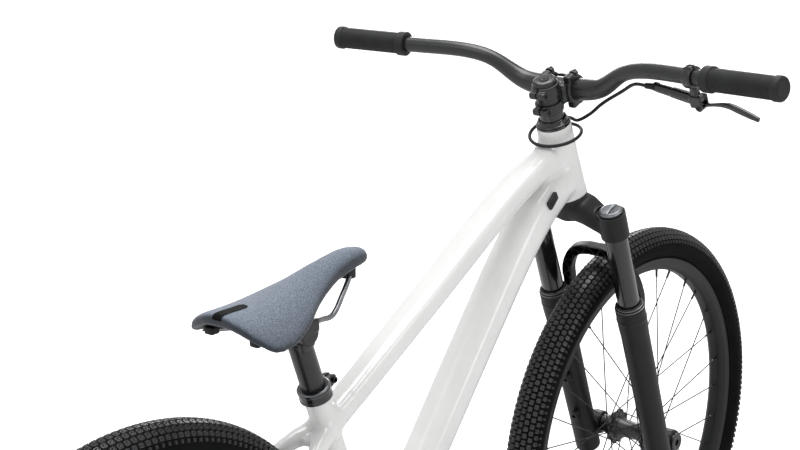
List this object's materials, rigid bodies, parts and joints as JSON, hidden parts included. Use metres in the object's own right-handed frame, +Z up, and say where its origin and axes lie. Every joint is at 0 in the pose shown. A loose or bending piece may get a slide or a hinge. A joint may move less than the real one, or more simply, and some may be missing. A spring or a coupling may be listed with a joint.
{
  "type": "dirt jump bike",
  "caption": "Rigid-framed dirt jump bike with a suspension fork, low saddle, wide riser bar, knobby tyres, chain drive and a rear disc brake worked by a lever on the right",
  "frame": {"origin": "on the ground, midway between the two axles", "axes": "+X points forward, +Y to the rider's left, +Z up"},
  "size_m": [1.728, 0.7492, 0.9905],
  "materials": {
    "white_paint": "gloss white paint over smooth welds",
    "black_anodised": "black, satin anodised",
    "matte_black_paint": "matte black paint",
    "gloss_black": "gloss black, polished",
    "black_steel": "blackened steel, satin",
    "bare_steel": "bare steel, bright",
    "chain_steel": "dark oiled steel",
    "grey_anodised": "grey satin anodised",
    "tyre_rubber": "black moulded rubber with small square knobs",
    "black_rubber": "smooth black rubber",
    "grip_rubber": "dark grey rubber with a fine texture",
    "black_plastic": "black moulded plastic",
    "blue_cloth": "dark blue-grey heathered cloth"
  },
  "bodies": {
    "frame": {"head_tube": "white_paint", "top_tube": "white_paint", "down_tube": "white_paint", "seat_tube": "white_paint", "bottom_bracket_shell": "white_paint", "chainstay_right": "white_paint", "chainstay_left": "white_paint", "seatstays": "white_paint", "port_plug": "black_plastic", "hose_grommet": "black_plastic", "bottom_bracket": "black_anodised", "brake_caliper": "gloss_black", "brake_hose": "black_rubber", "rear_axle": "bare_steel", "chain": "chain_steel", "seat_collar": "gloss_black", "headset_cup_upper": "black_anodised", "headset_cup_lower": "black_anodised"},
    "steering": {"fork_crown": "matte_black_paint", "stanchion_left": "gloss_black", "stanchion_right": "gloss_black", "headset_cover": "gloss_black", "stem": "black_anodised", "stem_faceplate": "black_anodised", "top_cap": "black_anodised", "handlebar": "black_anodised", "grip_left": "grip_rubber", "grip_right": "grip_rubber", "lever_body": "gloss_black"},
    "lowers": {"fork_lowers": "matte_black_paint", "front_axle": "black_anodised", "fork_seal_left": "black_rubber", "fork_seal_right": "black_rubber"},
    "front_wheel": {"front_tyre": "tyre_rubber", "front_rim": "black_anodised", "front_spokes_left": "black_steel", "front_spokes_right": "black_steel", "front_hub": "black_anodised"},
    "rear_wheel": {"rear_tyre": "tyre_rubber", "rear_rim": "black_anodised", "rear_spokes_left": "black_steel", "rear_spokes_right": "black_steel", "rear_hub": "black_anodised", "brake_rotor": "bare_steel"},
    "cog": {"rear_cog": "chain_steel"},
    "crankset": {"chainring": "black_anodised", "crank_arm_right": "black_anodised", "crank_arm_left": "black_anodised", "pedal_axle_left": "bare_steel", "pedal_axle_right": "bare_steel"},
    "left_pedal": {"pedal_left": "black_plastic"},
    "right_pedal": {"pedal_right": "black_plastic"},
    "lever": {"brake_lever": "gloss_black"},
    "compression_dial": {"compression_knob": "grey_anodised"},
    "rebound_dial": {"rebound_knob": "grey_anodised"},
    "post": {"seatpost": "black_anodised"},
    "saddle": {"seatpost_clamp": "black_anodised", "saddle_rails": "bare_steel", "saddle_base": "black_plastic", "saddle_cover": "blue_cloth"}
  },
  "joints": [
    {"name": "steering_turn", "type": "hinge", "parent": "frame", "child": "steering", "pos_m": [0.32789, 0, 0.76655], "axis": [-0.3518, 0, 0.9361], "range_deg": [-180, 180], "deforming": ["brake_hose"]},
    {"name": "fork_travel", "type": "slide", "parent": "steering", "child": "lowers", "axis": [-0.3518, 0, 0.9361], "range_m": [0, 0.1], "stiffness_N_per_m": 7000, "springref_m": -0.015},
    {"name": "front_wheel_spin", "type": "hinge", "parent": "lowers", "child": "front_wheel", "pos_m": [0.53, 0, 0.334], "axis": [0, 1, 0], "continuous": true},
    {"name": "rear_wheel_spin", "type": "hinge", "parent": "frame", "child": "rear_wheel", "pos_m": [-0.53, 0, 0.334], "axis": [0, 1, 0], "continuous": true},
    {"name": "crank_spin", "type": "hinge", "parent": "frame", "child": "crankset", "pos_m": [-0.136, 0, 0.316], "axis": [0, 1, 0], "continuous": true},
    {"name": "cog_spin", "type": "hinge", "parent": "frame", "child": "cog", "pos_m": [-0.53, 0, 0.334], "axis": [0, 1, 0], "continuous": true},
    {"name": "left_pedal_spin", "type": "hinge", "parent": "crankset", "child": "left_pedal", "pos_m": [-0.306, 0.13, 0.316], "axis": [0, 1, 0], "continuous": true},
    {"name": "right_pedal_spin", "type": "hinge", "parent": "crankset", "child": "right_pedal", "pos_m": [0.034, -0.13, 0.316], "axis": [0, 1, 0], "continuous": true},
    {"name": "brake_lever_pull", "type": "hinge", "parent": "steering", "child": "lever", "pos_m": [0.28199, -0.23903, 0.93268], "axis": [-0.9272, 0.1369, -0.3485], "range_deg": [0, 12], "stiffness_Nm_per_rad": 1.2, "springref_deg": -8.59},
    {"name": "compression_dial_turn", "type": "hinge", "parent": "steering", "child": "compression_dial", "pos_m": [0.33527, -0.0684, 0.75116], "axis": [-0.3518, 0, 0.9361], "range_deg": [0, 90]},
    {"name": "rebound_dial_turn", "type": "hinge", "parent": "lowers", "child": "rebound_dial", "pos_m": [0.50697, -0.0684, 0.29436], "axis": [-0.3518, 0, 0.9361], "range_deg": [0, 180]},
    {"name": "seat_height", "type": "slide", "parent": "frame", "child": "post", "axis": [-0.342, 0, 0.9397], "range_m": [-0.045, 0.06]},
    {"name": "saddle_tilt", "type": "hinge", "parent": "post", "child": "saddle", "pos_m": [-0.25599, 0, 0.71161], "axis": [0, 1, 0], "range_deg": [-10, 10]}
  ],
  "couplings": [
    {"joint": "cog_spin", "follows": "crank_spin", "ratio": 2.1538}
  ]
}
